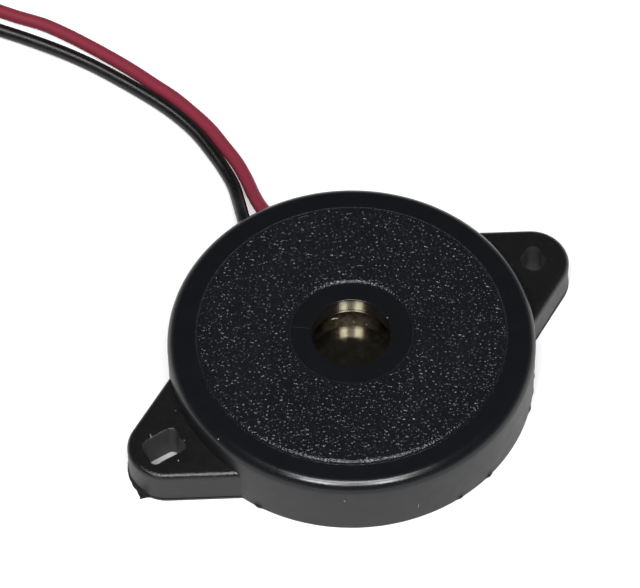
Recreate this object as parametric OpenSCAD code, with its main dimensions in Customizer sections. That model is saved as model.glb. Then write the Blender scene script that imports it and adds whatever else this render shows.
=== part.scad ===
// Flange-mounted piezo buzzer with two flying leads.
// Frame: origin on the case axis at the floor, +X along the ears, +Y to the lead exit,
// +Z out of the sound port. All lengths are in millimetres.

/* [Case] */
// Outer diameter of the round case
case_d = 35; // [32:0.5:37]
// Height of the smooth rim above the floor
case_h = 6.95; // [6.5:0.05:9]
// Radius of the rounded top edge of the rim
rim_r = 1.2; // [0.6:0.05:1.4]
// Radius of the broken edge at the foot of the case
foot_r = 0.2; // [0.1:0.05:0.4]
// Thickness of the side wall
wall = 1.6; // [1.3:0.05:1.8]
// Thickness of the roof under the rim level
roof_t = 1.55; // [1.2:0.05:1.8]

/* [Sound face] */
// Diameter of the raised grained face at its top edge
face_d = 29.5; // [27:0.1:30]
// Height of the grained face above the rim level
face_rise = 0.3; // [0.2:0.05:0.8]
// Width of the slope down from the grained face
face_slope = 0.15; // [0.1:0.05:0.5]
// Diameter of the smooth dish around the port, at the top edge
dish_d = 11.6; // [11:0.1:16]
// Diameter of the sound port
port_d = 7.6; // [6:0.1:9]
// Length of the port wall below the rim level
port_l = 1.95; // [1.85:0.05:2.4]
// Thickness of the neck around the port, inside the case
neck_t = 1.6; // [1:0.1:2]

/* [Ears] */
// Thickness of the mounting ears
ear_t = 4.05; // [3:0.05:5]
// Distance between the centres of the rounded ear tips
ear_pitch = 40.8; // [40.4:0.1:44]
// Radius of the ear tips
ear_r = 3.7; // [3.2:0.1:4]
// Distance inside the case wall of the circle that the ear edges run to
ear_root = 3.8; // [3:0.1:5]
// Distance between the centres of the two screw holes
screw_pitch = 41.4; // [41:0.1:43]
// Diameter of the round screw hole
screw_d = 2.7; // [2.4:0.1:3.2]
// Length of the slotted screw hole, along the ear
slot_l = 3.7; // [3.4:0.1:4.2]
// Width of the slotted screw hole
slot_w = 2.8; // [2.6:0.1:3.2]
// Radius of the slot's corners
slot_corner_r = 0.6; // [0.3:0.1:1.1]
// Height of the moulding gate scar at the slotted ear's tip
gate_h = 0.8; // [0.4:0.1:1.2]
// Depth that the gate scar's lump stands out
gate_out = 0.5; // [0.1:0.05:0.7]

/* [Back cover] */
// Thickness of the back cover
cover_t = 1; // [0.8:0.1:1.2]
// Depth that the cover sits in from the foot of the case
cover_inset = 0.2; // [0.1:0.05:0.4]
// Width of the shelf that the cover seats on
cover_shelf = 0.6; // [0.4:0.05:0.8]
// Gap between the cover's edge and the case, filled with glue
cover_gap = 0.1; // [0.05:0.01:0.15]

/* [Sounder] */
// Diameter of the brass diaphragm
brass_d = 27; // [24:0.5:28]
// Thickness of the brass diaphragm
brass_t = 0.25; // [0.15:0.05:0.35]
// Depth of the diaphragm's top face below the rim level
brass_depth = 3.1; // [2.6:0.05:3.3]
// Width of the diaphragm's edge that is glued to the rib
brass_lap = 1; // [0.7:0.1:1.4]
// Width of the ring rib that carries the diaphragm
rib_w = 1.3; // [1.2:0.1:1.5]
// Thickness of the glue between the rib and the diaphragm
glue_t = 0.1; // [0.05:0.01:0.2]
// Diameter of the silvered ceramic disc
ceramic_d = 20; // [18:0.5:20.5]
// Thickness of the silvered ceramic disc
ceramic_t = 0.25; // [0.15:0.05:0.3]
// Base diameter of each solder joint
solder_d = 1.8; // [1.6:0.1:2]
// Bare brass between the ceramic disc's edge and the black lead's solder joint
solder_gap = 0.35; // [0.2:0.05:0.5]
// Height of each solder joint
solder_h = 0.7; // [0.6:0.05:0.9]

/* [Leads] */
// Outer diameter of each insulated lead
lead_d = 1.35; // [1.2:0.05:1.35]
// Diameter of the tinned conductor
core_d = 0.5; // [0.4:0.05:0.6]
// Length of bare conductor at each free end
bare_l = 5; // [3:0.5:6]
// Plastic or sealant left around the leads in the exit notch
exit_margin = 0.2; // [0.15:0.05:0.3]

/* [Lead coil] */
// Diameter of the coil at the middle of its turns
coil_d = 15.65; // [15:0.05:16]
// Turns of the red lead in the coil
red_turns = 1.45; // [1.3:0.05:1.5]
// Turns of the black lead in the coil
black_turns = 1.7; // [1.5:0.05:1.7]
// Width of the tie around the coil
tie_w = 2.2; // [1.5:0.1:3]
// Thickness of the tie
tie_t = 0.25; // [0.15:0.05:0.4]

/* [Hidden] */
$fn = 128;
cut = 1; // how far a cutter runs past the face it cuts

// Routes of the leads' centrelines, from inside the case to where each one joins the coil.
red_route = [
    [2.2, 13.6, 2.2], [2.2, 16, 2.2], [2.2, 18.4, 2.2], [2.2, 20.6, 1.8],
    [2.6, 22.8, 1.15], [3.1, 25, 0.78], [3.4, 27.4, 0.68], [3.35, 30, 0.68],
    [3.25, 32.6, 0.68], [2.8, 35.2, 0.68], [2.2, 37.8, 0.68], [1.3, 40.4, 0.68],
    [0.4, 43, 0.68], [-0.6, 45.5, 0.68], [-1.75, 48.1, 0.68], [-2.95, 50.6, 0.68],
    [-4.35, 53.1, 0.68], [-6.2, 55.5, 0.68], [-7.9, 57.9, 0.68], [-9.6, 60.3, 0.68],
    [-11.3, 62.5, 0.68]];
black_route = [
    [-0.6, 13.6, 2.2], [-0.6, 16, 2.2], [-0.6, 18.4, 2.2], [0.1, 20.6, 1.8],
    [0.9, 22.8, 1.15], [1.6, 25, 0.78], [1.9, 27.4, 0.68], [1.95, 30, 0.68],
    [1.85, 32.6, 0.68], [1.4, 35.2, 0.68], [0.65, 37.8, 0.68], [-0.3, 40.3, 0.68],
    [-1.4, 42.9, 0.68], [-2.6, 45.5, 0.68], [-4, 48.1, 0.68], [-5.5, 50.5, 0.68],
    [-7.2, 53, 0.68], [-9, 55.5, 0.68], [-10.65, 58.25, 0.68], [-12.3, 61.1, 0.68]];
coil_centre = [-19.5, 59];
coil_start = 41;      // angle where the leads join the coil
coil_rest = 0.68;     // height of the first turn's centre
lead_sides = 8;

// Case
case_r = case_d / 2;
bore_r = case_r - wall;
roof_z = case_h - roof_t;
port_r = port_d / 2;
face_z = case_h + face_rise;
face_r = face_d / 2;
dish_r = dish_d / 2;
ear_x = ear_pitch / 2;
ear_root_r = case_r - ear_root;
screw_x = screw_pitch / 2;

// Gate scar, in angles about the centre of the ear's tip
scar_from = 139;
scar_arc = 70;
scar_out = 0.08;      // how far the rough skin stands out
scar_root = 1;        // how far the scar's solid runs into the ear
lump_from = 195;
lump_arc = 13;
lump_h = gate_h * 3 / 4;

// Back cover
cover_z = cover_inset + cover_t;
seat_r = bore_r + cover_shelf;
cover_r = seat_r - cover_gap;
glue_bead = 0.3;      // how far the glue laps onto the cover
ear_stop_r = (case_r + seat_r) / 2;

// Sounder
brass_r = brass_d / 2;
brass_z = case_h - brass_depth;
under_z = brass_z - brass_t;
silver_z = under_z - ceramic_t;
rib_in = brass_r - brass_lap;
rib_out = rib_in + rib_w;
joint_inset = 3;      // distance of the red lead's joint inside the ceramic disc's edge
red_joint = [red_route[0].x, ceramic_d / 2 - joint_inset, silver_z];
black_joint = [black_route[0].x, ceramic_d / 2 + solder_gap + solder_d / 2, under_z];

// Lead exit
exit_z = red_route[0].z;
exit_x = (red_route[0].x + black_route[0].x) / 2;
exit_w = red_route[0].x - black_route[0].x + lead_d + 2 * exit_margin;
exit_top = exit_z + lead_d / 2 + exit_margin;
seal_fillet = 1;      // how far the sealant spreads inside the side wall
seal_inset = 0.3;     // how far it stops short of the outside
seal_in = bore_r - seal_fillet;
seal_out = case_r - seal_inset;

// Coil, in its own frame: x runs out through the place where the leads join it
layer = coil_rest * 2;
red_coil_r = coil_d / 2 + lead_d / 2;
black_coil_r = coil_d / 2 - lead_d / 2;
red_gap = 56;         // arc left out of the red lead's first turn, where both leads run in
black_gap = 44;       // the same for the black lead
red_climb = 70;       // arc before the start over which the second red turn begins
black_climb = 60;
upper_z = layer * 1.5; // height of the second turn's centre
red_stop = (red_turns - 1) * 360;
black_stop = (black_turns - 1) * 360;
tie_angle = 100;
tie_arc = tie_w / (coil_d / 2) * 180 / PI;

function unit(v) = v / norm(v);

// Direction of a path at point i; the last point takes the direction it is given.
function heading(path, i, last) =
    i == 0 ? unit(path[1] - path[0]) :
    i == len(path) - 1 ? last : unit(path[i + 1] - path[i - 1]);

// Where a lead joins its turn of the coil, and which way it runs there.
function coil_join(r) =
    [coil_centre.x + r * cos(coil_start), coil_centre.y + r * sin(coil_start), coil_rest];
coil_heading = [-sin(coil_start), cos(coil_start), 0];

module ring(r_in, r_out, z_low, z_high) {
    rotate_extrude() translate([r_in, z_low]) square([r_out - r_in, z_high - z_low]);
}

// A straight round rod from p to q.
module rod(p, q, d) {
    v = q - p;
    translate(p) rotate([0, acos(v.z / norm(v)), atan2(v.y, v.x)]) cylinder(d = d, h = norm(v));
}

// A closed tube swept along a path with a few flat sides.
module tube(path, d, last) {
    n = len(path);
    points = [for (i = [0:n - 1]) let (
            t = heading(path, i, last), side = unit(cross(t, [0, 0, 1])), up = cross(side, t))
        for (k = [0:lead_sides - 1]) let (a = 360 * k / lead_sides)
            path[i] + d / 2 * (cos(a) * side + sin(a) * up)];
    skin = [for (i = [0:n - 2]) for (k = [0:lead_sides - 1]) let (j = (k + 1) % lead_sides)
        [i * lead_sides + k, (i + 1) * lead_sides + k, (i + 1) * lead_sides + j, i * lead_sides + j]];
    first_cap = [for (k = [0:lead_sides - 1]) k];
    last_cap = [for (k = [lead_sides - 1:-1:0]) (n - 1) * lead_sides + k];
    polyhedron(points, concat(skin, [first_cap, last_cap]));
}

// Half section of the case's outside, to be turned about the axis.
module case_outline() {
    translate([0, foot_r]) square([case_r, case_h - rim_r - foot_r]);
    square([case_r - foot_r, case_h - rim_r]);
    translate([case_r - foot_r, foot_r]) circle(foot_r);
    square([case_r - rim_r, case_h]);
    translate([case_r - rim_r, case_h - rim_r]) circle(rim_r);
    polygon([[dish_r - face_slope, case_h - rim_r], [dish_r - face_slope, case_h], [dish_r, face_z],
        [face_r, face_z], [face_r + face_slope, case_h], [face_r + face_slope, case_h - rim_r]]);
}

// Half section of the room inside, around the port neck and the diaphragm rib.
module case_hollow() {
    difference() {
        union() {
            translate([0, -cut]) square([bore_r, roof_z + cut]);
            translate([0, -cut]) square([seat_r, cover_z + cut]);
            translate([0, -cut]) square([port_r, face_z + 2 * cut]);
        }
        translate([port_r, case_h - port_l]) square([neck_t, port_l]);
        translate([rib_in, brass_z + glue_t]) square([rib_w, case_h - brass_z - glue_t]);
    }
}

module ear_outline(side) {
    lean = acos((ear_root_r - ear_r) / ear_x);
    translate([side * ear_x, 0]) circle(ear_r);
    polygon([
        [side * ear_root_r * cos(lean), ear_root_r * sin(lean)],
        [side * (ear_x + ear_r * cos(lean)), ear_r * sin(lean)],
        [side * (ear_x + ear_r * cos(lean)), -ear_r * sin(lean)],
        [side * ear_root_r * cos(lean), -ear_root_r * sin(lean)]]);
}

// Both ears, stopped inside the side wall.
module ears() {
    linear_extrude(ear_t) difference() {
        union() {
            ear_outline(1);
            ear_outline(-1);
        }
        circle(ear_stop_r);
    }
}

// Rough scar at the foot of the slotted ear's tip, with a lump where the gate broke off.
module gate_scar() {
    translate([-ear_x, 0, 0]) {
        rotate([0, 0, scar_from]) rotate_extrude(angle = scar_arc)
            translate([ear_r - scar_root, 0]) square([scar_root + scar_out, gate_h]);
        rotate([0, 0, lump_from]) rotate_extrude(angle = lump_arc)
            translate([ear_r - scar_root, 0]) square([scar_root + gate_out, lump_h]);
    }
}

module screw_holes() {
    translate([screw_x, 0, -cut]) cylinder(d = screw_d, h = ear_t + 2 * cut);
    corner_x = slot_l / 2 - slot_corner_r;
    corner_y = slot_w / 2 - slot_corner_r;
    translate([-screw_x, 0, -cut]) linear_extrude(ear_t + 2 * cut) union() {
        square([slot_l, 2 * corner_y], center = true);
        square([2 * corner_x, slot_w], center = true);
        for (x = [-corner_x, corner_x]) for (y = [-corner_y, corner_y])
            translate([x, y]) circle(slot_corner_r);
    }
}

// Block through the rear wall, as wide as both leads and the sealant around them.
module exit_block(y_low, y_high, z_low, z_high, gap) {
    translate([exit_x - exit_w / 2 + gap, y_low, z_low])
        cube([exit_w - 2 * gap, y_high - y_low, z_high - z_low]);
}

module case() {
    color([0.1, 0.1, 0.11]) difference() {
        union() {
            difference() {
                rotate_extrude() difference() {
                    case_outline();
                    case_hollow();
                }
                exit_block(seal_in, case_r + cut, -cut, exit_top, 0);
            }
            ears();
            gate_scar();
        }
        screw_holes();
    }
}

module back_cover() {
    color([0.13, 0.13, 0.14]) union() {
        ring(0, cover_r, cover_inset, cover_z);
        intersection() {
            exit_block(0, case_r, cover_inset, cover_z, cover_gap);
            cylinder(r = seal_out, h = case_h);
        }
    }
}

module cover_glue() {
    color([0.45, 0.4, 0.3]) difference() {
        rotate_extrude() polygon([[cover_r, cover_z], [cover_r, cover_inset],
            [cover_r - glue_bead, cover_inset], [seat_r, 0], [seat_r, cover_z]]);
        exit_block(0, case_r + cut, -cut, exit_top, 0);
    }
}

module brass_diaphragm() {
    color([0.78, 0.64, 0.34]) ring(0, brass_r, under_z, brass_z);
}

module piezo_ceramic() {
    color([0.8, 0.8, 0.78]) ring(0, ceramic_d / 2, silver_z, under_z);
}

module diaphragm_glue() {
    color([0.85, 0.85, 0.82]) union() {
        ring(rib_in, brass_r, brass_z, brass_z + glue_t);
        ring(brass_r, rib_out, under_z, brass_z + glue_t);
    }
}

// Height of the middle of a lead's core where it enters its solder joint.
function core_tip(joint) = [joint.x, joint.y, joint.z - solder_h / 2];
function core_root(route) = route[0];

module inner_core(route, joint) {
    rod(core_tip(joint), core_root(route), core_d);
}

// A dome of solder that hangs from the disc above it, around the end of the core.
module solder(route, joint) {
    base = solder_d / 2;
    ball = (base * base + solder_h * solder_h) / (2 * solder_h);
    difference() {
        intersection() {
            translate([joint.x, joint.y, joint.z - solder_h + ball]) sphere(ball);
            translate([joint.x - base, joint.y - base, joint.z - solder_h])
                cube([2 * base, 2 * base, solder_h]);
        }
        inner_core(route, joint);
    }
}

module red_solder() {
    color([0.75, 0.76, 0.78]) solder(red_route, red_joint);
}

module black_solder() {
    color([0.75, 0.76, 0.78]) solder(black_route, black_joint);
}

module red_inner_core() {
    color([0.8, 0.8, 0.8]) difference() {
        inner_core(red_route, red_joint);
        lead_stub(red_route);
    }
}

module black_inner_core() {
    color([0.8, 0.8, 0.8]) difference() {
        inner_core(black_route, black_joint);
        lead_stub(black_route);
    }
}

// The straight start of a lead, as it runs out through the wall.
module lead_stub(route) {
    translate(route[0]) rotate([-90, 0, 0]) cylinder(d = lead_d, h = case_r);
}

// The hole that a lead leaves in whatever it runs out through.
module lead_way(route) {
    translate([route[0].x, 0, route[0].z]) rotate([-90, 0, 0]) cylinder(d = lead_d, h = case_d);
}

module lead_seal() {
    color([0.2, 0.2, 0.2]) difference() {
        intersection() {
            exit_block(seal_in, case_r, cover_z, exit_top, 0);
            ring(seal_in, seal_out, cover_z, exit_top);
        }
        lead_way(red_route);
        lead_way(black_route);
    }
}

module red_lead() {
    color([0.7, 0.12, 0.22])
        tube(concat(red_route, [coil_join(red_coil_r)]), lead_d, coil_heading);
}

module black_lead() {
    color([0.07, 0.07, 0.07])
        tube(concat(black_route, [coil_join(black_coil_r)]), lead_d, coil_heading);
}

// Puts its children in the coil's own frame.
module at_coil() {
    translate([coil_centre.x, coil_centre.y, 0]) rotate([0, 0, coil_start]) children();
}

// A wedge of the plane between two angles, wide enough to cut across the whole coil.
module wedge(from, to) {
    reach = coil_d / cos((to - from) / 4);
    polygon(concat([[0, 0]],
        [for (a = [from, (from + to) / 2, to]) [reach * cos(a), reach * sin(a)]]));
}

// One arc of a lead's turn, as a solid band of the lead's width and height.
module turn(r, from, to, storey) {
    translate([0, 0, storey * layer]) linear_extrude(layer) difference() {
        circle(r + lead_d / 2);
        circle(r - lead_d / 2);
        wedge(to, from + 360);
    }
}

// Both turns of one lead, with a shallow groove underneath for the tie.
module coil_turns(r, gap, climb, stop) {
    at_coil() difference() {
        union() {
            turn(r, 0, 360 - gap, 0);
            turn(r, -climb, stop, 1);
        }
        translate([0, 0, -cut]) linear_extrude(cut + tie_t) wedge(tie_angle, tie_angle + tie_arc);
    }
}

module red_lead_coil() {
    color([0.7, 0.12, 0.22]) coil_turns(red_coil_r, red_gap, red_climb, red_stop);
}

module black_lead_coil() {
    color([0.07, 0.07, 0.07]) coil_turns(black_coil_r, black_gap, black_climb, black_stop);
}

module coil_tie() {
    inside = black_coil_r - lead_d / 2;
    outside = red_coil_r + lead_d / 2;
    color([0.85, 0.85, 0.83]) at_coil() rotate([0, 0, tie_angle])
        rotate_extrude(angle = tie_arc) difference() {
            translate([inside - tie_t, 0])
                square([outside - inside + 2 * tie_t, 2 * layer + tie_t]);
            translate([inside, tie_t]) square([outside - inside, 2 * layer - tie_t]);
        }
}

module bare_end(r, stop) {
    color([0.8, 0.8, 0.8]) at_coil() rotate([0, 0, stop])
        rotate_extrude(angle = bare_l / r * 180 / PI)
            translate([r, upper_z]) circle(d = core_d);
}

module red_bare_end() {
    bare_end(red_coil_r, red_stop);
}

module black_bare_end() {
    bare_end(black_coil_r, black_stop);
}

case();
back_cover();
cover_glue();
brass_diaphragm();
piezo_ceramic();
diaphragm_glue();
red_solder();
black_solder();
red_inner_core();
black_inner_core();
lead_seal();
red_lead();
black_lead();
red_lead_coil();
black_lead_coil();
coil_tie();
red_bare_end();
black_bare_end();
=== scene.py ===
"""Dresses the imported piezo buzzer: case, sounder, leads, materials, light and camera."""

import math

import bmesh
import bpy
from mathutils import Matrix, Vector, noise


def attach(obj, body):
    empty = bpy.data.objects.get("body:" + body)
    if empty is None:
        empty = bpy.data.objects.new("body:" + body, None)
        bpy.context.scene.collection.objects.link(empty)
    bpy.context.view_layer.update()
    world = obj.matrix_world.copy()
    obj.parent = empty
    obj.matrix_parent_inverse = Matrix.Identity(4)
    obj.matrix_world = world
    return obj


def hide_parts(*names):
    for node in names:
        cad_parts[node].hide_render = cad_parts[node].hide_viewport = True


MM = 0.001
UP = Vector((0, 0, 1))

# Case, in millimetres
CASE_R = 17.5
RIM_Z = 6.95
RIM_R = 1.2
FOOT_R = 0.2
FACE_Z = 7.25
FACE_R = 14.75
DISH_R = 5.8
SLOPE = 0.15
FACE_EDGE_R = 0.5
STEP_R = 0.03
PORT_R = 3.8
PORT_LOW = 5.0
PORT_EDGE_R = 0.12
PORT_SEAM_Z, PORT_SEAM = 5.37, 0.05
NECK_R = 5.4
ROOF_Z = 5.4
RIB_IN, RIB_OUT, RIB_Z = 12.5, 13.8, 3.95
BORE_R = 15.9
SEAT_R, SEAT_Z, SEAT_EDGE = 16.5, 1.2, 0.12
EXIT_X, EXIT_W, EXIT_TOP, EXIT_FROM = 0.8, 4.55, 3.075, 13.9

# Flash at the foot, in millimetres and degrees. Each nub has its angle, width and size.
NUBS = (
    (208.3, 0.35, 0.12), (274.2, 0.25, 0.08), (286.4, 0.3, 0.12), (314.4, 0.3, 0.12),
    (321, 0.3, 0.07), (327, 0.25, 0.08), (330.7, 0.35, 0.15),
)
NUB_TOP, NUB_FADE = 0.75, 0.3
TORN_FROM = 0.03
EAR_FLASH, EAR_FLASH_TOP = 0.05, 0.33
ROUND_FLASH, ROUND_FLASH_AT, ROUND_FLASH_WIDTH = 0.09, 329, 20
# Where the gate scar starts, thickens and ends on the slotted ear's tip, and its lump
SCAR_FROM, SCAR_THICK, SCAR_TO, LUMP_AT, LUMP_WIDTH = 139, 165, 209, 203, 6.5

# Ears, in millimetres
EAR_Z = 4.05
EAR_FOOT_R = 0.12
SLOTTED_EDGE_R, ROUND_EDGE_R = 0.5, 0.66
EAR_X = 20.4
EAR_R = 3.7
EAR_ROOT_R = 13.7
EAR_STOP_R = 17.0
SCREW_X = 20.7
SCREW_R = 1.35
SLOT_X, SLOT_Y, SLOT_R = 1.85, 1.4, 0.6
SLOT_CHAMFER, HOLE_CHAMFER = 0.08, 0.03
# Dents in the slot's and the hole's outlines: angle and width in degrees, size in millimetres
SLOT_DENTS = ((45, 14, -0.13), (180, 14, -0.17), (325, 16, 0.12))
HOLE_DENTS = ((118, 30, -0.36), (355, 34, -0.45), (240, 38, 0.14))

# Leads, in metres and degrees. The routes repeat the points of the part's source.
LEAD_R = 0.675 * MM
CORE_R = 0.25 * MM
BARE = 5 * MM
STRAND_LAY = 7 * MM
COIL_CENTRE = Vector((-0.0195, 0.059, 0))
COIL_START = math.radians(41)
COIL_REST = 0.68 * MM
RED_COIL_R, BLACK_COIL_R = 8.5 * MM, 7.15 * MM
LAYER = 1.36 * MM
TIE_AT, TIE_W, TIE_T = 108.1, 2.2 * MM, 0.25 * MM
TIE_RISE_FROM, TIE_RISE = 17, 8
RED_ROUTE = (
    (0.0022, 0.0136, 0.0022), (0.0022, 0.016, 0.0022), (0.0022, 0.0184, 0.0022),
    (0.0022, 0.0206, 0.0018), (0.0026, 0.0228, 0.00115), (0.0031, 0.025, 0.00078),
    (0.0034, 0.0274, 0.00068), (0.00335, 0.03, 0.00068), (0.00325, 0.0326, 0.00068),
    (0.0028, 0.0352, 0.00068), (0.0022, 0.0378, 0.00068), (0.0013, 0.0404, 0.00068),
    (0.0004, 0.043, 0.00068), (-0.0006, 0.0455, 0.00068), (-0.00175, 0.0481, 0.00068),
    (-0.00295, 0.0506, 0.00068), (-0.00435, 0.0531, 0.00068), (-0.0062, 0.0555, 0.00068),
    (-0.0079, 0.0579, 0.00068), (-0.0096, 0.0603, 0.00068), (-0.0113, 0.0625, 0.00068),
)
BLACK_ROUTE = (
    (-0.0006, 0.0136, 0.0022), (-0.0006, 0.016, 0.0022), (-0.0006, 0.0184, 0.0022),
    (0.0001, 0.0206, 0.0018), (0.0009, 0.0228, 0.00115), (0.0016, 0.025, 0.00078),
    (0.0019, 0.0274, 0.00068), (0.00195, 0.03, 0.00068), (0.00185, 0.0326, 0.00068),
    (0.0014, 0.0352, 0.00068), (0.00065, 0.0378, 0.00068), (-0.0003, 0.0403, 0.00068),
    (-0.0014, 0.0429, 0.00068), (-0.0026, 0.0455, 0.00068), (-0.004, 0.0481, 0.00068),
    (-0.0055, 0.0505, 0.00068), (-0.0072, 0.053, 0.00068), (-0.009, 0.0555, 0.00068),
    (-0.01065, 0.05825, 0.00068), (-0.0123, 0.0611, 0.00068),
)


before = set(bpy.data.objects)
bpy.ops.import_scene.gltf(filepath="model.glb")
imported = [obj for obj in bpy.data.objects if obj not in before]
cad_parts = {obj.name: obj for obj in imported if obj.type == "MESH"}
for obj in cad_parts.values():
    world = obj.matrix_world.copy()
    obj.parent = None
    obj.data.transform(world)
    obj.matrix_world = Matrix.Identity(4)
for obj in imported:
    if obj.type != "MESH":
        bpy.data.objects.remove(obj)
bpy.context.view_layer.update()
bpy.context.scene.view_settings.view_transform = "Standard"


# Mesh building


def add_object(name, mesh, materials):
    piece = bpy.data.objects.new(name, mesh)
    bpy.context.scene.collection.objects.link(piece)
    for made in materials:
        mesh.materials.append(made)
    return piece


def finish_mesh(name, built, sharp=35):
    """Turns a bmesh into a smooth-shaded mesh with its hard edges kept."""
    bmesh.ops.recalc_face_normals(built, faces=built.faces)
    mesh = bpy.data.meshes.new(name)
    built.to_mesh(mesh)
    built.free()
    mesh.shade_smooth()
    mesh.set_sharp_from_angle(angle=math.radians(sharp))
    return mesh


def add_rings(built, rings, marks=(), wrap=False, caps=False):
    """Adds a skin over closed rings of points. marks gives each band's material index."""
    rows = [[built.verts.new(p) for p in ring] for ring in rings]
    count = len(rows[0])
    after = rows[1:] + (rows[:1] if wrap else [])
    for band, (low, high) in enumerate(zip(rows, after)):
        for i in range(count):
            j = (i + 1) % count
            face = built.faces.new((low[i], low[j], high[j], high[i]))
            face.material_index = marks[band] if marks else 0
    if caps:
        built.faces.new(rows[0][::-1])
        built.faces.new(rows[-1])


def arc(x, z, radius, start, stop, steps):
    """Points of an arc in a section, from angle start to stop in degrees."""
    turns = [math.radians(start + (stop - start) * k / steps) for k in range(steps + 1)]
    return [(x + radius * math.cos(t), z + radius * math.sin(t)) for t in turns]


def smooth_step(t):
    t = min(1.0, max(0.0, t))
    return t * t * (3 - 2 * t)


def bell(off, width):
    """1 at off = 0, falling to both sides over that width."""
    return math.exp(-((off / width) ** 2))


def degrees_apart(a, b):
    """The turn from b to a, between -180 and 180 degrees."""
    return (a - b + 180) % 360 - 180


# Leads


def through(points, steps, after):
    """A smooth line through the points; after is the point that follows the last one."""
    p = [Vector(q) for q in points]
    p = [2 * p[0] - p[1], *p, Vector(after)]
    line = []
    for a, b, c, d in zip(p, p[1:], p[2:], p[3:]):
        for k in range(steps):
            t = k / steps
            square = (2 * a - 5 * b + 4 * c - d) * t * t
            cube = (3 * b - a - 3 * c + d) * t * t * t
            line.append(0.5 * (2 * b + (c - a) * t + square + cube))
    return line


def coil_point(radius, turn, climb):
    """A point of the coil. turn is in degrees from where the lead joins it, and climb is the
    two angles before the end of the first turn between which the lead rises a storey."""
    start, stop = climb
    storey = smooth_step((turn - 360 + start) / (start - stop))
    over_tie = TIE_T * smooth_step((TIE_RISE_FROM - abs(degrees_apart(turn, TIE_AT))) / TIE_RISE)
    angle = COIL_START + math.radians(turn)
    height = COIL_REST + storey * LAYER + over_tie
    return COIL_CENTRE + Vector((radius * math.cos(angle), radius * math.sin(angle), height))


def lead_line(route, radius, turns, climb):
    """The centreline of a lead, from inside the case to the end of its insulation."""
    count = int(72 * turns)
    coil = [coil_point(radius, 360 * turns * k / count, climb) for k in range(count + 1)]
    steps = 5
    return through([*route, coil[0]], steps, coil[1])[:-steps] + coil


def ahead_at(line, i):
    """The direction of a line at its point i."""
    return (line[min(i + 1, len(line) - 1)] - line[max(i - 1, 0)]).normalized()


def sections(line, radius, sides, twist=0.0):
    """Rings of points round a line, carried along it without turning."""
    rings = []
    side = UP.cross(line[1] - line[0]).normalized()
    for i, point in enumerate(line):
        ahead = ahead_at(line, i)
        side = (side - side.dot(ahead) * ahead).normalized()
        up = ahead.cross(side)
        turns = [2 * math.pi * k / sides + twist for k in range(sides)]
        rings.append([point + radius * (math.cos(t) * side + math.sin(t) * up) for t in turns])
    return rings


def lead_mesh(name, line):
    """Insulation with a cleanly cut end, whose bore the core comes out of."""
    built = bmesh.new()
    rings = sections(line, LEAD_R, 24)
    centre, before = line[-1], line[-2]
    ahead = (centre - before).normalized()
    ease, depth = 0.03 * MM, 0.5 * MM
    lip, mouth = (
        [centre + (p - centre) * share + ahead * ease for p in rings[-1]]
        for share in (0.94, CORE_R / LEAD_R)
    )
    inside = [p - ahead * depth for p in mouth]
    add_rings(built, [*rings, lip, mouth, inside], caps=True)
    return finish_mesh(name, built, 50)


def strand_mesh(name, line):
    """A tinned core: six strands twisted round a seventh, each pressed into the next."""
    built = bmesh.new()
    strand_r = CORE_R / 3
    pressed_r, sides = strand_r * 1.05, 8
    add_rings(built, sections(line, pressed_r, sides), caps=True)
    for k in range(6):
        along, path = 0.0, []
        starts = sections(line, strand_r * 2 * 0.98, 1, math.pi * k / 3)
        for i, ring in enumerate(starts):
            along += (line[i] - line[i - 1]).length if i else 0
            spin = Matrix.Rotation(2 * math.pi * along / STRAND_LAY, 3, ahead_at(line, i))
            path.append(line[i] + spin @ (ring[0] - line[i]))
        add_rings(built, sections(path, pressed_r, sides), caps=True)
    return finish_mesh(name, built, 60)


# Camera

CAMERA_AZIMUTH, CAMERA_ELEVATION, CAMERA_ROLL = -30.58, 54.53, -0.943
CAMERA_DISTANCE = 0.3804
CAMERA_TARGET = Vector((0.002331, 0.009687, 0))
CAMERA_LENS = 219.22


def direction(azimuth, elevation):
    """From the object towards that view. Azimuth 0 is -Y and 90 is +X."""
    a, e = math.radians(azimuth), math.radians(elevation)
    return Vector((math.sin(a) * math.cos(e), -math.cos(a) * math.cos(e), math.sin(e)))


def add_camera():
    back = direction(CAMERA_AZIMUTH, CAMERA_ELEVATION)
    level = UP.cross(back).normalized()
    turn = Matrix.Rotation(math.radians(CAMERA_ROLL), 3, back)
    right = turn @ level
    up = turn @ back.cross(level)
    data = bpy.data.cameras.new("camera")
    data.sensor_width = 36
    data.lens = CAMERA_LENS
    data.clip_start = 0.01
    data.clip_end = 20
    camera = bpy.data.objects.new("camera", data)
    bpy.context.scene.collection.objects.link(camera)
    turned = Matrix((right, up, back)).transposed().to_4x4()
    camera.matrix_world = Matrix.Translation(CAMERA_TARGET + CAMERA_DISTANCE * back) @ turned
    bpy.context.scene.camera = camera


add_camera()


# Materials


def new_material(name, color, roughness, metallic=0.0, **sockets):
    """A Principled material and its shader. sockets are the shader's other values."""
    made = bpy.data.materials.new(name)
    made.use_nodes = True
    shader = made.node_tree.nodes["Principled BSDF"]
    shader.inputs["Base Color"].default_value = (*color, 1)
    shader.inputs["Roughness"].default_value = roughness
    shader.inputs["Metallic"].default_value = metallic
    for key, value in sockets.items():
        shader.inputs[key.replace("_", " ")].default_value = value
    return made, shader


def node(made, kind, links=(), **values):
    """Adds a node, sets its inputs and properties, and links (input, output) pairs to it."""
    added = made.node_tree.nodes.new(kind)
    for key, value in values.items():
        if key in added.inputs:
            added.inputs[key].default_value = value
        else:
            setattr(added, key, value)
    for key, output in links:
        made.node_tree.links.new(output, added.inputs[key])
    return added


def connect(made, output, added, socket):
    made.node_tree.links.new(output, added.inputs[socket])


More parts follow.
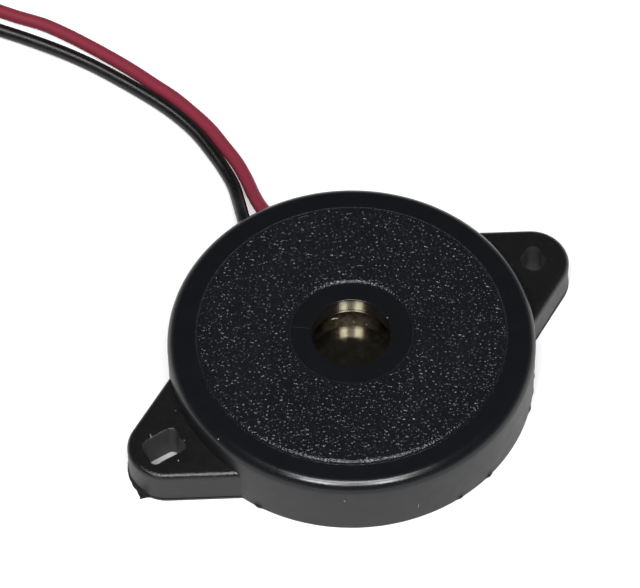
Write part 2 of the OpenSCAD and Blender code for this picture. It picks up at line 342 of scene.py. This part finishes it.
def feed(made, value, added, socket):
    """Gives a node's input a number, a colour or another node's output."""
    if isinstance(value, (int, float)):
        added.inputs[socket].default_value = value
    elif isinstance(value, tuple):
        added.inputs[socket].default_value = (*value, 1)
    else:
        connect(made, value, added, socket)


def place(made):
    """The piece's own coordinates."""
    return node(made, "ShaderNodeTexCoord").outputs["Object"]


def noise_of(made, size, detail=2.0, rough=0.5):
    """Noise whose features are about size metres across."""
    links = [("Vector", place(made))]
    texture = node(
        made, "ShaderNodeTexNoise", links, Scale=1 / size, Detail=detail, Roughness=rough
    )
    return texture.outputs["Fac"]


def ranged(made, value, low, high, to_low=0.0, to_high=1.0):
    """Carries the range from low to high over to another, and holds it there."""
    mapped = node(made, "ShaderNodeMapRange", [("Value", value)])
    names = ("From Min", "From Max", "To Min", "To Max")
    for key, number in zip(names, (low, high, to_low, to_high)):
        mapped.inputs[key].default_value = number
    return mapped.outputs["Result"]


def math_of(made, operation, a, b):
    added = node(made, "ShaderNodeMath", operation=operation)
    feed(made, a, added, 0)
    feed(made, b, added, 1)
    return added.outputs[0]


def mixed(made, factor, first, second):
    """A colour between two, each a tuple or an output."""
    added = node(made, "ShaderNodeMix", [("Factor", factor)], data_type="RGBA")
    feed(made, first, added, 6)
    feed(made, second, added, 7)
    return added.outputs[2]


def bump(made, height, distance, under=None):
    """A relief of that distance, on top of another where one is given."""
    links = [("Height", height)]
    if under:
        links.append(("Normal", under))
    return node(made, "ShaderNodeBump", links, Distance=distance).outputs["Normal"]


def specks(made, spacing, radius, share):
    """Sparse dots: a mask that is 1 inside a dot."""
    links = [("Vector", place(made))]
    cells = node(made, "ShaderNodeTexVoronoi", links, Scale=1 / spacing, Randomness=1.0)
    inside = ranged(made, cells.outputs["Distance"], radius / spacing, 0.4 * radius / spacing)
    pick = node(made, "ShaderNodeSeparateColor", [("Color", cells.outputs["Color"])])
    chosen = ranged(made, pick.outputs[0], 1 - share, 1 - share + 0.01)
    return math_of(made, "MULTIPLY", inside, chosen)


def near(made, point, inside, outside):
    """1 within the inside distance of a point, falling to 0 at the outside distance."""
    away = node(made, "ShaderNodeVectorMath", [(0, place(made))], operation="DISTANCE")
    away.inputs[1].default_value = point
    return ranged(made, away.outputs["Value"], outside, inside)


def upward(made):
    """1 on a level face, 0 on an upright one."""
    normal = node(made, "ShaderNodeNewGeometry").outputs["Normal"]
    split = node(made, "ShaderNodeSeparateXYZ", [("Vector", normal)])
    return math_of(made, "ABSOLUTE", split.outputs["Z"], 0)


BLACK = (0.0066, 0.0070, 0.0084)
WALL_ROUGHNESS = 0.42


def smooth_plastic(name, base=BLACK, roughness=0.2, dusty=True, grain=0.0022):
    """Black moulded plastic: satin and faintly uneven, duller where it stands upright, with a
    little dust. grain is the fine relief in millimetres."""
    made, shader = new_material(name, base, roughness)
    uneven = noise_of(made, 2.5 * MM, 3)
    color = mixed(made, uneven, tuple(0.86 * c for c in base), tuple(1.16 * c for c in base))
    if dusty:
        pale_mask = specks(made, 2.2 * MM, 0.075 * MM, 0.22)
        color = mixed(made, pale_mask, color, (0.16, 0.16, 0.155))
    connect(made, color, shader, "Base Color")
    rough = ranged(made, upward(made), 0.2, 0.6, WALL_ROUGHNESS, roughness)
    uneven_rough = ranged(made, noise_of(made, 1.2 * MM, 4, 0.6), 0.3, 0.7, -0.03, 0.04)
    connect(made, math_of(made, "ADD", rough, uneven_rough), shader, "Roughness")
    fine = bump(made, noise_of(made, 0.14 * MM, 2), grain * MM)
    connect(made, bump(made, uneven, 0.012 * MM, fine), shader, "Normal")
    return made


def grained_plastic(name, size, relief, roughness):
    """The same plastic with a fine spark-eroded grain whose pips sparkle. Its steep parts are
    dull."""
    made, shader = new_material(name, BLACK, roughness)
    gloss = ranged(made, upward(made), 0.66, 0.78, 0.14, 0.5)
    connect(made, gloss, shader, "Specular IOR Level")
    uneven = noise_of(made, 3 * MM, 2)
    color = mixed(made, uneven, (0.0060, 0.0063, 0.0080), (0.0089, 0.0092, 0.0120))
    connect(made, color, shader, "Base Color")
    fine = bump(made, noise_of(made, 0.12 * MM, 1), 0.016 * MM)
    connect(made, bump(made, noise_of(made, size, 1), relief, fine), shader, "Normal")
    return made


def polished_plastic(name):
    """The port's polished wall."""
    made, shader = new_material(name, BLACK, 0.2, Specular_IOR_Level=0.36)
    rough = ranged(made, noise_of(made, 0.6 * MM, 3), 0.3, 0.7, 0.16, 0.24)
    connect(made, rough, shader, "Roughness")
    connect(made, bump(made, noise_of(made, 0.5 * MM, 2), 0.004 * MM), shader, "Normal")
    return made


def painted_light_plastic(name, point):
    """The room's inside, with a pool of pale light painted around a point."""
    made, shader = new_material(name, BLACK, 0.5)
    patchy = ranged(made, noise_of(made, 0.5 * MM, 4, 0.7), 0.38, 0.62, 0.3, 1.1)
    # A painted pool of light: the lamps' light that the brass throws up here
    pale_mask = math_of(made, "MULTIPLY", near(made, point, 0.8 * MM, 3.2 * MM), patchy)
    connect(made, mixed(made, pale_mask, BLACK, (0.34, 0.33, 0.46)), shader, "Base Color")
    return made


def scar_plastic(name):
    """Torn plastic at the gate and the nubs."""
    made, shader = new_material(name, BLACK, 0.6, Specular_IOR_Level=0.15)
    torn = noise_of(made, 0.25 * MM, 4, 0.7)
    color = mixed(made, torn, (0.004, 0.004, 0.004), (0.014, 0.014, 0.015))
    connect(made, color, shader, "Base Color")
    connect(made, bump(made, torn, 0.08 * MM), shader, "Normal")
    return made


def insulation(name, color, light, roughness, **sockets):
    """Extruded PVC: satin, with faint unevenness and scuffs."""
    made, shader = new_material(name, color, roughness, **sockets)
    cloud = noise_of(made, 1.6 * MM, 3)
    connect(made, mixed(made, cloud, color, light), shader, "Base Color")
    scuffs = noise_of(made, 0.5 * MM, 3)
    rough = ranged(made, scuffs, 0.3, 0.7, roughness - 0.05, roughness + 0.08)
    connect(made, rough, shader, "Roughness")
    fine = bump(made, noise_of(made, 0.12 * MM, 2), 0.0012 * MM)
    connect(made, bump(made, cloud, 0.01 * MM, fine), shader, "Normal")
    return made


def metal(name, color, light, roughness, grain):
    """Metal with cloudy tarnish and a fine grain."""
    made, shader = new_material(name, color, roughness, 1.0)
    connect(made, mixed(made, noise_of(made, 1.8 * MM, 4), color, light), shader, "Base Color")
    scuffs = noise_of(made, 0.7 * MM, 3)
    rough = ranged(made, scuffs, 0.3, 0.7, roughness - 0.04, roughness + 0.06)
    connect(made, rough, shader, "Roughness")
    connect(made, bump(made, noise_of(made, grain, 3), 0.002 * grain), shader, "Normal")
    return made


def soft_fill(name, color, light, roughness):
    """Glue, sealant, dust or a drilled wall: cloudy colour and a slightly wavy face."""
    made, shader = new_material(name, color, roughness)
    cloud = noise_of(made, 1.4 * MM, 3)
    connect(made, mixed(made, cloud, color, light), shader, "Base Color")
    connect(made, bump(made, cloud, 0.05 * MM), shader, "Normal")
    return made


SMOOTH = smooth_plastic("black_plastic_smooth")
GRAINED = grained_plastic("black_plastic_grained", 0.27 * MM, 0.15 * MM, 0.17)
EASED = grained_plastic("black_plastic_face_edge", 0.17 * MM, 0.085 * MM, 0.11)
POLISHED = polished_plastic("black_plastic_polished")
SCAR = scar_plastic("black_plastic_torn")
HIDDEN = smooth_plastic("black_plastic_inside", roughness=0.45, dusty=False)
# The cavity's pale patch near the port is painted light
CAVITY = painted_light_plastic("painted_light_plastic", Vector((2.3, 4, 5)) * MM)
SLOT_WALL = soft_fill("black_plastic_slot", (0.038, 0.038, 0.039), (0.046, 0.046, 0.047), 0.6)
# The round hole's wall is the slot wall's plastic painted darker: painted shade
HOLE_WALL = soft_fill("black_plastic_hole", (0.027, 0.027, 0.0275), (0.034, 0.034, 0.0345), 0.6)
# The ears are the case's black plastic painted lighter: painted light on their tops
EARS = smooth_plastic("black_plastic_ears", (0.0088, 0.0086, 0.0088), grain=0.05)
RED_PVC = insulation(
    "red_pvc", (0.205, 0.022, 0.04), (0.235, 0.028, 0.05), 0.5, Specular_IOR_Level=0.2
)
BLACK_PVC = insulation("black_pvc", (0.003, 0.0031, 0.0032), (0.0045, 0.0046, 0.0048), 0.28)
BRASS = metal("brass_sheet", (0.55, 0.49, 0.32), (0.65, 0.58, 0.41), 0.14, 0.5 * MM)
SILVER = metal("fired_silver", (0.70, 0.70, 0.67), (0.80, 0.80, 0.78), 0.42, 0.05 * MM)
TIN = metal("tinned_copper", (0.72, 0.72, 0.72), (0.84, 0.84, 0.85), 0.28, 0.1 * MM)
CLEAR_GLUE = soft_fill("amber_glue", (0.28, 0.22, 0.12), (0.38, 0.31, 0.19), 0.25)
WHITE_GLUE = soft_fill("white_glue", (0.60, 0.60, 0.56), (0.70, 0.70, 0.67), 0.4)
SEALANT = soft_fill("black_sealant", (0.012, 0.012, 0.012), (0.022, 0.022, 0.022), 0.22)
# A pale grey that stands for the slot burr's glint: a painted highlight
BURR_GLINT = soft_fill("black_plastic_painted_glint", (0.15, 0.15, 0.15), (0.22, 0.22, 0.22), 0.5)
CRUMB = soft_fill("pale_dust", (0.42, 0.42, 0.41), (0.5, 0.5, 0.49), 0.8)
STRAP = soft_fill("tie_strap", (0.60, 0.60, 0.58), (0.70, 0.70, 0.68), 0.45)


# Leads, their bare ends and the tie round their coil


def add_lead(name, route, radius, turns, climb, pvc):
    """A lead from the case to the end of its coil, and its bare end."""
    line = lead_line(route, radius, turns, climb)
    piece = add_object(name, lead_mesh(name, line), [pvc])
    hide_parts(name.replace("_wire", "_lead"), name.replace("_wire", "_lead_coil"))
    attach(piece, "root")
    end, hidden, points = 360 * turns, 4, 40
    shown = math.degrees(BARE / radius)
    tip = [
        coil_point(radius, end - hidden + (shown + hidden) * k / points, climb)
        for k in range(points + 1)
    ]
    core = add_object(name + "_core", strand_mesh(name + "_core", tip), [TIN])
    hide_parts(name.replace("_wire", "_bare_end"))
    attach(core, "root")
    return piece, core, line


red, red_core, red_line = add_lead(
    "red_wire", RED_ROUTE, RED_COIL_R, 1.45, (90, 40), RED_PVC
)
black, black_core, black_line = add_lead(
    "black_wire", BLACK_ROUTE, BLACK_COIL_R, 1.7, (80, 30), BLACK_PVC
)


def tie_mesh(name):
    """A flat strap round both leads' turns, with rounded corners and edges."""
    half_r = 2 * LEAD_R + TIE_T / 2 + 0.02 * MM
    middle = (RED_COIL_R + BLACK_COIL_R) / 2
    low, high = TIE_T / 2, COIL_REST + LAYER + LEAD_R + 1.5 * TIE_T
    half_z, corner = (high - low) / 2, 0.6 * MM
    path = []
    for k, (sx, sz) in enumerate(((1, 1), (-1, 1), (-1, -1), (1, -1))):
        corner_x, corner_z = sx * (half_r - corner), sz * (half_z - corner)
        path += arc(corner_x, corner_z, corner, 90 * k, 90 * k + 90, 8)
    angle = COIL_START + math.radians(TIE_AT)
    out = Vector((math.cos(angle), math.sin(angle), 0))
    along = Vector((-math.sin(angle), math.cos(angle), 0))
    half_w, half_t, ease = TIE_W / 2, TIE_T / 2, 0.06 * MM
    section = [
        (half_w - ease, half_t), (half_w, half_t - ease), (half_w, ease - half_t),
        (half_w - ease, -half_t), (ease - half_w, -half_t), (-half_w, ease - half_t),
        (-half_w, half_t - ease), (ease - half_w, half_t),
    ]
    rings = []
    for i, (x, z) in enumerate(path):
        (xa, za), (xb, zb) = path[i - 1], path[(i + 1) % len(path)]
        tangent = Vector((xb - xa, zb - za)).normalized()
        normal = out * tangent.y - UP * tangent.x
        centre = COIL_CENTRE + out * (middle + x) + UP * (z + (high + low) / 2)
        rings.append([centre + along * w + normal * t for w, t in section])
    built = bmesh.new()
    add_rings(built, rings, wrap=True)
    return finish_mesh(name, built, 50)


tie = add_object("tie_strap", tie_mesh("tie_strap"), [STRAP])
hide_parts("coil_tie")
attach(tie, "root")


# Case


def marked(points, mark):
    return [(r, z, mark) for r, z in points]


def case_section():
    """The case's section as (radius, height, material) points, in millimetres. A point's
    material is that of the band which starts at it."""
    smooth, grained, polished, inside, eased = range(5)
    slope = math.atan2(FACE_Z - RIM_Z, SLOPE)
    lean = math.degrees(slope)
    tuck = FACE_EDGE_R * math.tan(slope / 2)
    step = STEP_R * math.tan(slope / 2)
    edge_z = FACE_Z - FACE_EDGE_R
    margin = 0.4
    lip = PORT_R + PORT_EDGE_R
    wall = [(CASE_R, z) for z in (0.3, 0.4, 0.5, 0.6, 0.75, 1.2, 2, 3, 4, 5)]
    foot = arc(FACE_R + SLOPE + step, RIM_Z + STEP_R, STEP_R, 270, 270 - lean, 5)
    low_edge = arc(lip, PORT_LOW + PORT_EDGE_R, PORT_EDGE_R, 180, 270, 5)
    return [
        (SEAT_R, SEAT_Z, inside),
        (SEAT_R, SEAT_EDGE, smooth),
        (SEAT_R + SEAT_EDGE, 0, smooth),
        *marked(arc(CASE_R - FOOT_R, FOOT_R, FOOT_R, -90, 0, 5), smooth),
        *marked(wall, smooth),
        *marked(arc(CASE_R - RIM_R, RIM_Z - RIM_R, RIM_R, 0, 90, 16), smooth),
        *marked(foot, eased),
        *marked(arc(FACE_R - tuck, edge_z, FACE_EDGE_R, 90 - lean, 90, 8)[:-1], eased),
        (FACE_R - tuck, FACE_Z, grained),
        (FACE_R - margin, FACE_Z, grained),
        (DISH_R + margin, FACE_Z, grained),
        *marked(arc(DISH_R + tuck, edge_z, FACE_EDGE_R, 90, 90 + lean, 8), eased),
        (DISH_R - SLOPE, RIM_Z, smooth),
        (lip + 0.1, RIM_Z, smooth),
        *marked(arc(lip, RIM_Z - PORT_EDGE_R, PORT_EDGE_R, 90, 180, 6), polished),
        (PORT_R, 6.2, polished),
        (PORT_R, PORT_SEAM_Z + PORT_SEAM, polished),
        (PORT_R + PORT_SEAM, PORT_SEAM_Z, polished),
        (PORT_R, PORT_SEAM_Z - PORT_SEAM, polished),
        *marked(low_edge[:-1], polished),
        (lip, PORT_LOW, inside),
        (NECK_R, PORT_LOW, inside),
        (NECK_R, ROOF_Z, inside),
        (RIB_IN, ROOF_Z, inside),
        (RIB_IN, RIB_Z, inside),
        (RIB_OUT, RIB_Z, inside),
        (RIB_OUT, ROOF_Z, inside),
        (BORE_R, ROOF_Z, inside),
        (BORE_R, SEAT_Z, inside),
    ]


def nub_push(angle, height):
    """How far the wall stands out at a nub, in millimetres."""
    low = smooth_step((NUB_TOP - height) / NUB_FADE)
    return low * sum(
        size * bell(math.radians(angle - at) * CASE_R, width) for at, width, size in NUBS
    )


def case_mesh(name):
    section = case_section()
    outside = SEAT_R + 0.5
    count = 720
    rings = []
    for r, z, _ in section:
        ring = []
        for k in range(count):
            turn = 360 * k / count
            radius = r + (nub_push(turn, z) if r > outside else 0)
            a = math.radians(turn)
            ring.append(Vector((radius * math.cos(a), radius * math.sin(a), z)) * MM)
        rings.append(ring)
    built = bmesh.new()
    add_rings(built, rings, [mark for _, _, mark in section], wrap=True)
    for face in built.faces:
        c = face.calc_center_median() / MM
        turn = math.degrees(math.atan2(c.y, c.x)) % 360
        if math.hypot(c.x, c.y) > outside and nub_push(turn, c.z) > TORN_FROM:
            face.material_index = 5
    return finish_mesh(name, built)


def cut_exit(piece):
    """Cuts the lead exit through the rear wall."""
    built = bmesh.new()
    bmesh.ops.create_cube(built, size=1)
    low = Vector((EXIT_X - EXIT_W / 2, EXIT_FROM, -1)) * MM
    high = Vector((EXIT_X + EXIT_W / 2, CASE_R + 1, EXIT_TOP)) * MM
    for v in built.verts:
        v.co = [a if at < 0 else b for at, a, b in zip(v.co, low, high)]
    cutter = add_object("exit_cutter", finish_mesh("exit_cutter", built), [])
    cut = piece.modifiers.new("exit", "BOOLEAN")
    cut.operation = "DIFFERENCE"
    cut.solver = "EXACT"
    cut.object = cutter
    bpy.context.view_layer.update()
    result = bpy.data.meshes.new_from_object(
        piece.evaluated_get(bpy.context.evaluated_depsgraph_get())
    )
    piece.modifiers.clear()
    piece.data = result
    bpy.data.objects.remove(cutter)
    result.name = piece.name


case_looks = [SMOOTH, GRAINED, POLISHED, CAVITY, EASED, SCAR]
case = add_object("case_shell", case_mesh("case_shell"), case_looks)
cut_exit(case)
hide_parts("case")
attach(case, "root")


# Ears


def ear_reach(angle, inset):
    """Distance from the screw hole's centre to the ear's outline, drawn in by inset. angle is
    measured from the ear's outward direction. All in millimetres and radians."""
    root, tip = EAR_ROOT_R - inset, EAR_R - inset
    lean = math.acos((root - tip) / EAR_X)
    dx, dy = math.cos(angle), abs(math.sin(angle))
    far = []
    off = SCREW_X - EAR_X
    reach = -off * dx + math.sqrt(max(0.0, (off * dx) ** 2 - off * off + tip * tip))
    x, y = SCREW_X + reach * dx, reach * dy
    if math.atan2(y, x - EAR_X) <= lean:
        far.append(reach)
    across = dx * math.cos(lean) + dy * math.sin(lean)
    if across > 1e-6:
        far.append((root - SCREW_X * math.cos(lean)) / across)
    stop = EAR_STOP_R + inset
    square = (SCREW_X * dx) ** 2 - SCREW_X**2 + stop**2
    if square > 0 and dx < 0:
        far.append(-SCREW_X * dx - math.sqrt(square))
    return min(far)


def hole_reach(angle, slot, ease):
    """The same for the screw hole's own wall, widened by ease. The slot is a rectangle with
    rounded corners."""
    for at, width, size in SLOT_DENTS if slot else HOLE_DENTS:
        ease += size * bell(degrees_apart(math.degrees(angle), at), width)
    if not slot:
        return SCREW_R + ease
    dx, dy = abs(math.cos(angle)), abs(math.sin(angle))
    centre_x, centre_y = SLOT_X - SLOT_R, SLOT_Y - SLOT_R
    if dx * centre_y >= dy * (SLOT_X + ease):
        return (SLOT_X + ease) / dx
    if dy * centre_x >= dx * (SLOT_Y + ease):
        return (SLOT_Y + ease) / dy
    along = centre_x * dx + centre_y * dy
    return along + math.sqrt(along**2 - centre_x**2 - centre_y**2 + (SLOT_R + ease) ** 2)


def foot_flash(angle, height):
    """How far a strip of flash stands out at the foot of the round ear, in millimetres."""
    along = bell(math.degrees(angle) - ROUND_FLASH_AT, ROUND_FLASH_WIDTH)
    return ROUND_FLASH * along * smooth_step((0.95 - height) / 0.25)


def scar_push(x, y, z):
    """How far the gate scar stands out at the slotted ear's tip, in millimetres. It is a thin
    skin along the foot, thicker to one side, and a lump beyond it."""
    angle = math.degrees(math.atan2(y, x + EAR_X)) % 360
    rough = 0.5 + 0.5 * noise.noise(Vector((x, y, z)) * 3.1)
    ragged = noise.noise(Vector((x, y, z)) * 6.3)
    skin = smooth_step((angle - SCAR_FROM) / 6) * smooth_step((SCAR_TO - angle) / 5)
    skin *= 0.05 + 0.08 * rough + 0.1 * smooth_step((angle - SCAR_THICK) / 25)
    lump = bell(angle - LUMP_AT, LUMP_WIDTH) * (0.26 + 0.16 * rough + 0.12 * ragged)
    return skin * smooth_step((0.9 - z) / 0.3) + lump * smooth_step((0.75 - z) / 0.4)


def ear_sections(slot):
    """The ear's outer and inner sections as (inset, height) points, in millimetres. A negative
    inset stands out."""
    top_r = SLOTTED_EDGE_R if slot else ROUND_EDGE_R
    chamfer = SLOT_CHAMFER if slot else HOLE_CHAMFER
    foot_r, flash = EAR_FOOT_R, EAR_FLASH
    outer = [(top_r + 0.12, EAR_Z)]
    for k in range(13):
        t = math.pi / 2 * k / 12
        outer.append((top_r - top_r * math.sin(t), EAR_Z - top_r + top_r * math.cos(t)))
    outer += [(0, z) for z in (3.2, 2.7, 2.2, 1.6, 1.2, 1.0, 0.85, 0.7, 0.58, 0.48)]
    outer += [(0.05, 0.42), (0.05, EAR_FLASH_TOP + 0.005), (-flash, EAR_FLASH_TOP), (-flash, 0.2)]
    for k in range(5):
        t = math.pi / 2 * k / 4
        outer.append((foot_r - foot_r * math.cos(t) - flash, foot_r - foot_r * math.sin(t)))
    inner = [
        (chamfer + 0.05, 0), (chamfer, 0), (0.02, 0.03), (0, 0.09), (0, 2),
        (0, EAR_Z - 0.09), (0.02, EAR_Z - 0.03), (chamfer, EAR_Z), (chamfer + 0.06, EAR_Z),
    ]
    return outer, inner


def ear_mesh(name, side):
    """An ear with its screw hole: round on the +X side, a slot on the -X side."""
    slot = side < 0
    outer, inner = ear_sections(slot)
    count = 480
    turns = [2 * math.pi * k / count for k in range(count)]
    rings = []
    for inset, z in outer:
        ring = []
        for t in turns:
            reach = ear_reach(t, max(inset, 0)) - min(inset, 0) * abs(math.sin(t))
            if not slot and inset < 0.2:
                reach += foot_flash(t, z)
            x = side * (SCREW_X + reach * math.cos(t))
            y = reach * math.sin(t)
            if slot and inset < 0.2 and z < 1.3:
                push = 1 + scar_push(x, y, z) / EAR_R
                x = (x + EAR_X) * push - EAR_X
                y *= push
            ring.append(Vector((x, y, z)) * MM)
        rings.append(ring)
    for ease, z in inner:
        reaches = [hole_reach(t, slot, ease) for t in turns]
        rings.append([
            Vector((side * (SCREW_X + reach * math.cos(t)), reach * math.sin(t), z)) * MM
            for t, reach in zip(turns, reaches)
        ])
    built = bmesh.new()
    outside, torn, wall = range(3)
    marks = [outside] * len(outer) + [wall] * (len(inner) - 3)
    marks += [outside if slot else wall, outside, outside]
    add_rings(built, rings, marks, wrap=True)
    if slot:
        for face in built.faces:
            c = face.calc_center_median() / MM
            at_tip = c.z < 0.9 and math.hypot(c.x + EAR_X, c.y) > EAR_R - 0.25
            if at_tip and scar_push(c.x, c.y, c.z) > TORN_FROM:
                face.material_index = torn
    return finish_mesh(name, built)


for name, side, hole_wall in (("ear_slotted", -1, SLOT_WALL), ("ear_round", 1, HOLE_WALL)):
    ear = add_object(name, ear_mesh(name, side), [EARS, SCAR, hole_wall])
    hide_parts("case")
    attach(ear, "root")


# Small marks


def crumbs_mesh(name, spots):
    """Crumbs of dust, each a lump of a few hundredths of a millimetre at (x, y, z, radius)."""
    built = bmesh.new()
    for x, y, z, radius in spots:
        at = Vector((x, y, z))
        made = bmesh.ops.create_icosphere(built, subdivisions=2, radius=radius * MM)
        for v in made["verts"]:
            lump = 1 + 0.5 * noise.noise(v.co / (radius * MM) + at)
            v.co = v.co * lump + at * MM
    return finish_mesh(name, built, 60)


def sliver_mesh(name, points, radius):
    """A thin strand through the points that tapers to both ends."""
    after = 2 * Vector(points[-1]) - Vector(points[-2])
    line = [p * MM for p in through(points, 6, after)]
    built = bmesh.new()
    rings = sections(line, radius * MM, 8)
    last = len(line) - 1
    for i, ring in enumerate(rings):
        taper = max(0.15, math.sin(math.pi * i / last) ** 0.5)
        rings[i] = [line[i] + (p - line[i]) * taper for p in ring]
    add_rings(built, rings, caps=True)
    return finish_mesh(name, built, 60)


# Each crumb's place and radius, in millimetres
CRUMBS = (
    (-18.75, -0.5, 4.07, 0.04), (-20.35, -2.18, 4.07, 0.06), (-16.8, -3.65, 6.78, 0.06),
    (-9.73, -14.56, 4.8, 0.06), (3.84, -0.29, 6.95, 0.05), (1.98, 2.86, 3.86, 0.04),
    (2.85, 1.9, 3.86, 0.045), (0.48, 3.5, 3.86, 0.03),
)
# Each sliver's name, points, radius and material, in millimetres
SLIVERS = (
    # The burr's pale material is a painted glint
    ("slot_burr", ((-21.1, 1.85, 4.05), (-21.2, 1.55, 4.18), (-21.32, 1.2, 4.1)), 0.07, BURR_GLINT),
    ("port_fibre", ((0.25, 4.2, 3.87), (0.6, 4.1, 3.9), (1.08, 3.9, 3.87)), 0.04, CRUMB),
    (
        "dish_hair",
        ((-4.86, 3.86, 6.96), (-3.63, 2.96, 6.96), (-2.99, 2.37, 6.96)),
        0.009,
        HOLE_WALL,
    ),
    ("wall_mark", ((-3.28, -17.18, 2.6), (-3.25, -17.2, 2.2), (-3.3, -17.19, 1.8)), 0.02, CRUMB),
)
marks = [add_object("crumbs", crumbs_mesh("crumbs", CRUMBS), [CRUMB])]
for name, points, radius, look in SLIVERS:
    marks.append(add_object(name, sliver_mesh(name, points, radius), [look]))
for mark in marks:
    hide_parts("case")
    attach(mark, "root")


# CAD pieces that keep their own shape

LOOKS = {
    "back_cover": HIDDEN,
    "cover_glue": CLEAR_GLUE,
    "brass_diaphragm": BRASS,
    "piezo_ceramic": SILVER,
    "diaphragm_glue": WHITE_GLUE,
    "red_solder": TIN,
    "black_solder": TIN,
    "red_inner_core": TIN,
    "black_inner_core": TIN,
    "lead_seal": SEALANT,
}
for name, look in LOOKS.items():
    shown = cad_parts[name]
    shown.data.materials.clear()
    shown.data.materials.append(look)
    shown.data.shade_smooth()
    shown.data.set_sharp_from_angle(angle=math.radians(30))


# Floor, world and lamps


def add_floor():
    """A wide pale floor that the camera sees as white, with painted shade under the slot."""
    built = bmesh.new()
    bmesh.ops.create_circle(built, cap_ends=True, segments=96, radius=3)
    floor = add_object("floor", finish_mesh("floor", built), [])
    floor.location.z = -0.03 * MM
    pale, shaded = (0.8, 0.8, 0.8), (0.46, 0.46, 0.46)
    made, shader = new_material(
        "pale_floor", pale, 0.9, Specular_IOR_Level=0.1, Emission_Color=(1, 1, 1, 1)
    )
    # Painted shade: the floor is darker and glows less in a disc under the slotted ear
    painted_shade_under_slot = near(made, Vector((-SCREW_X, 0, 0)) * MM, 2.2 * MM, 2.5 * MM)
    connect(made, mixed(made, painted_shade_under_slot, pale, shaded), shader, "Base Color")
    camera_ray = node(made, "ShaderNodeLightPath").outputs["Is Camera Ray"]
    glow = math_of(made, "MULTIPLY", camera_ray, 0.35)
    glow = math_of(made, "MULTIPLY", glow, math_of(made, "SUBTRACT", 1, painted_shade_under_slot))
    connect(made, glow, shader, "Emission Strength")
    floor.data.materials.append(made)


def add_world():
    """A studio that is dim near the horizon and dark overhead."""
    world = bpy.data.worlds.new("studio")
    world.use_nodes = True
    bpy.context.scene.world = world
    background = world.node_tree.nodes["Background"]
    sky = node(world, "ShaderNodeTexCoord").outputs["Generated"]
    split = node(world, "ShaderNodeSeparateXYZ", [("Vector", sky)])
    height = ranged(world, split.outputs["Z"], 0.1, 0.5)
    color = mixed(world, height, (0.32, 0.32, 0.32), (0.012, 0.0125, 0.0145))
    connect(world, color, background, "Color")


def add_lamp(name, azimuth, elevation, width, height, radiance):
    """A soft panel that faces the object, of that radiance."""
    distance = 1.5
    data = bpy.data.lights.new(name, "AREA")
    data.shape = "RECTANGLE"
    data.size, data.size_y = width, height
    data.energy = radiance * math.pi * width * height
    lamp = bpy.data.objects.new(name, data)
    bpy.context.scene.collection.objects.link(lamp)
    toward = direction(azimuth, elevation)
    lamp.location = toward * distance
    lamp.rotation_euler = toward.to_track_quat("Z", "Y").to_euler()
    lamp.visible_camera = False
    return lamp


add_floor()
add_world()
add_lamp("panel_left", CAMERA_AZIMUTH - 22, 56, 0.32, 0.42, 20)
add_lamp("panel_right", CAMERA_AZIMUTH + 22, 56, 0.26, 0.42, 20)
add_lamp("panel_middle", CAMERA_AZIMUTH, 56, 0.6, 0.42, 4)
add_lamp("panel_above", CAMERA_AZIMUTH, 77, 0.8, 0.34, 13)
panel_lead = add_lamp("panel_lead", -124, 64, 0.9, 0.3, 7.5)
# This panel lights the black lead alone, for the long highlight there
lit = bpy.data.collections.new("lit_by_panel_lead")
lit.objects.link(black)
panel_lead.light_linking.receiver_collection = lit
